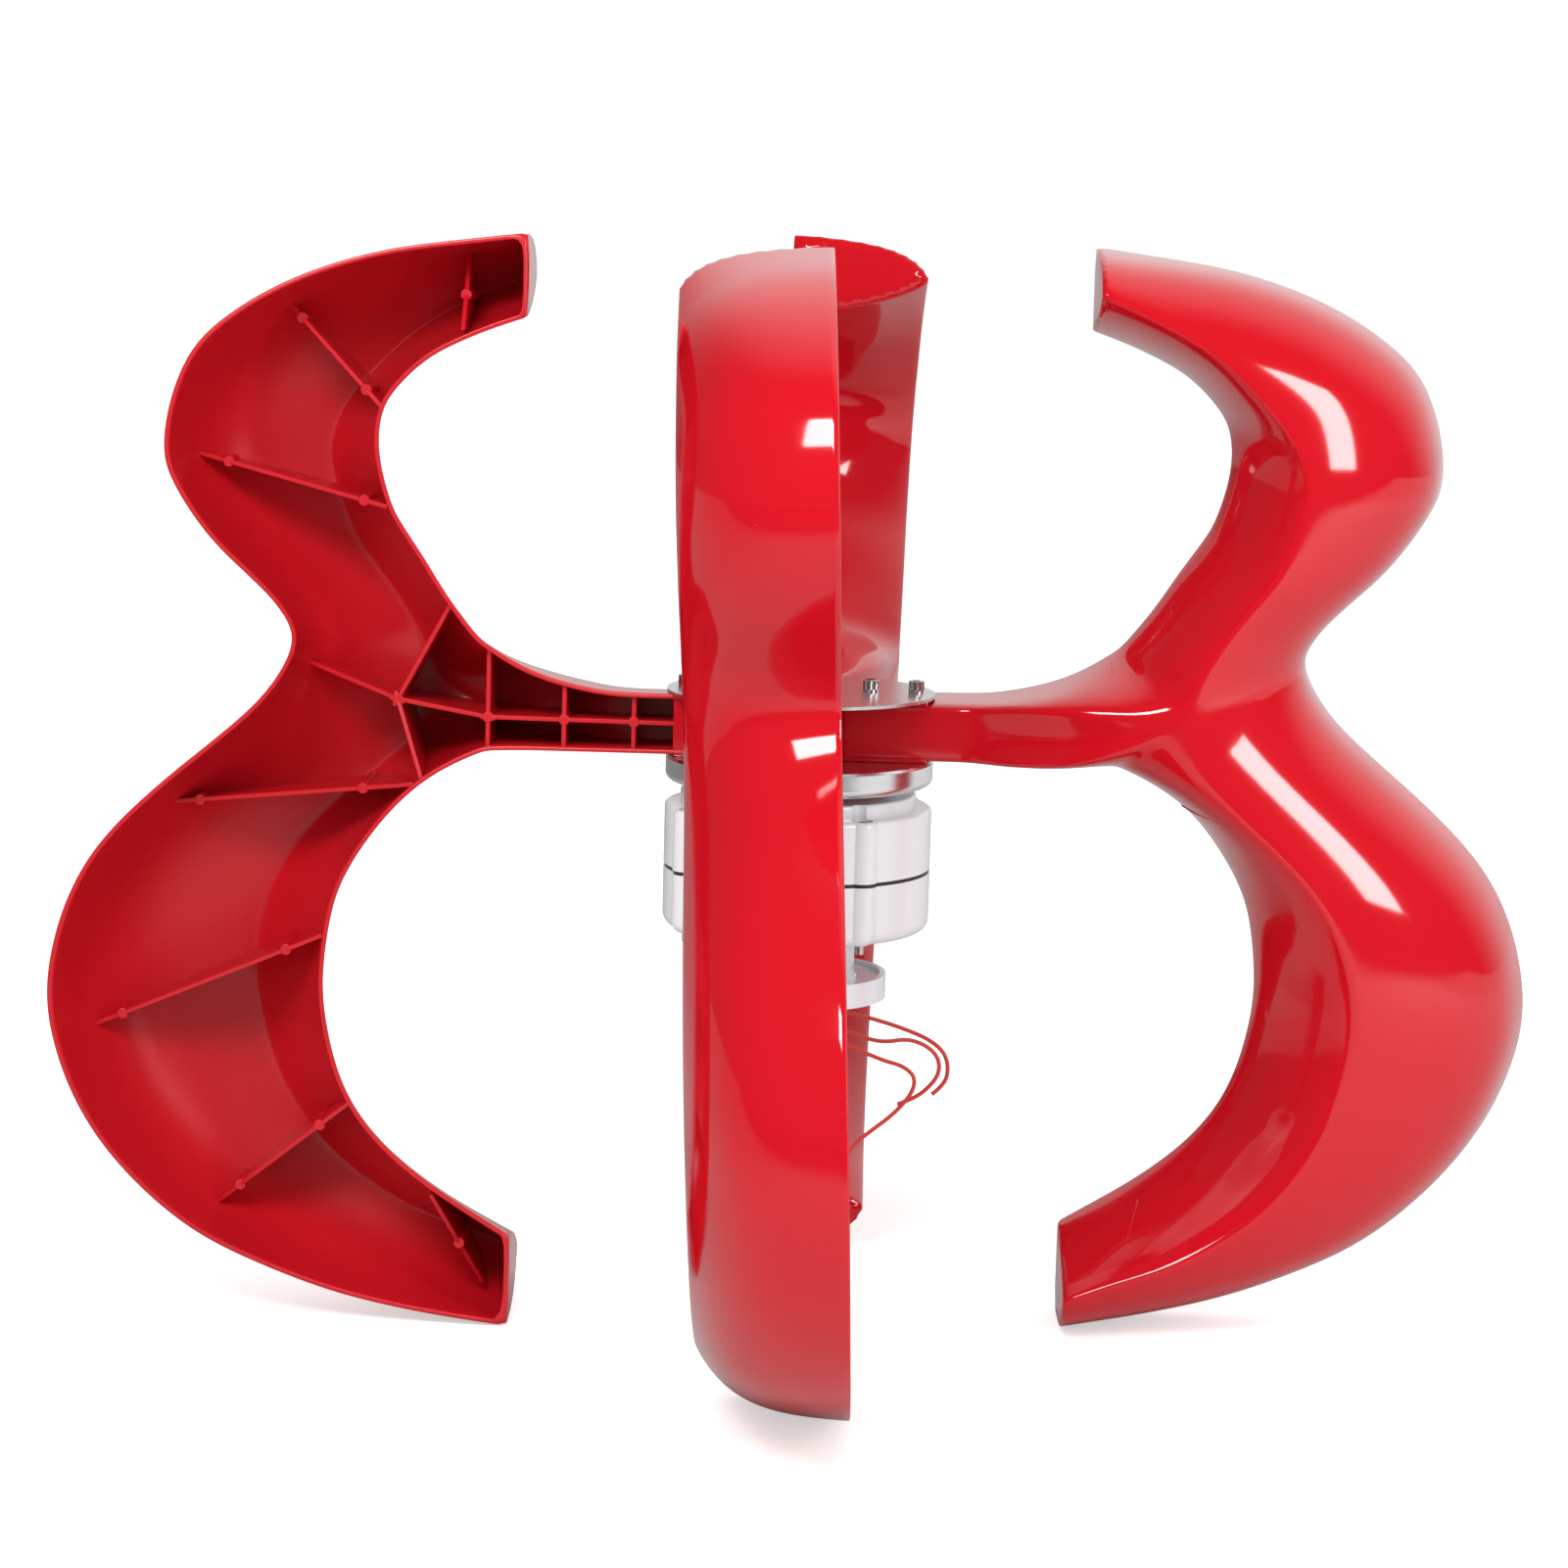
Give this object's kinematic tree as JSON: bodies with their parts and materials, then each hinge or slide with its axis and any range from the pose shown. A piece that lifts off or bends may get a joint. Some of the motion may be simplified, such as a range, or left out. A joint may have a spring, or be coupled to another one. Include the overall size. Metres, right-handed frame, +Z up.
{
  "type": "vertical-axis wind turbine",
  "caption": "Small vertical-axis wind turbine with lantern-shaped double-lobed blades on a hub above a round generator with a pole flange.",
  "frame": {"origin": "on the rotor axis, at the level of the lower blade tips that the turbine stands on", "axes": "+Z up along the rotor axis, +X out along the arm of the first blade"},
  "size_m": [0.947, 0.947, 0.6929],
  "materials": {
    "blade_red": "gloss",
    "brushed_steel": "brushed",
    "flange_alu": "polished",
    "screw_steel": "satin",
    "shaft_steel": "turned",
    "bearing_steel": "ground",
    "seal_rubber": "matt",
    "housing_white": "gloss",
    "seam_black": "matt",
    "core_steel": "laminated",
    "coil_copper": "enamelled",
    "magnet_nickel": "plated",
    "yoke_steel": "turned",
    "lead_red": "semi-gloss"
  },
  "bodies": {
    "stator": {"upper_bearing_outer": "bearing_steel", "lower_bearing_outer": "bearing_steel", "shaft_seal": "seal_rubber", "stator_core": "core_steel", "stator_coils": "coil_copper", "upper_housing": "housing_white", "seam_ring": "seam_black", "lower_housing": "housing_white", "housing_screws": "screw_steel", "pole_flange": "housing_white", "neck_screws": "screw_steel", "cable_grommet": "seal_rubber", "lead_1": "lead_red", "lead_2": "lead_red", "lead_3": "lead_red", "inner_lead_1": "lead_red", "inner_lead_2": "lead_red", "inner_lead_3": "lead_red"},
    "rotor": {"blade_1": "blade_red", "blade_2": "blade_red", "blade_3": "blade_red", "blade_4": "blade_red", "top_plate": "brushed_steel", "hub_flange": "flange_alu", "blade_screws": "screw_steel", "spring_washers": "screw_steel", "shaft": "shaft_steel", "shaft_key": "shaft_steel", "shaft_washer": "screw_steel", "shaft_nut": "screw_steel", "upper_bearing_inner": "bearing_steel", "lower_bearing_inner": "bearing_steel", "rotor_yoke": "yoke_steel", "magnets": "magnet_nickel"}
  },
  "joints": [
    {"name": "rotor_spin", "type": "hinge", "parent": "stator", "child": "rotor", "pos_m": [0, 0, 0.32768], "axis": [0, 0, 1], "continuous": true}
  ]
}
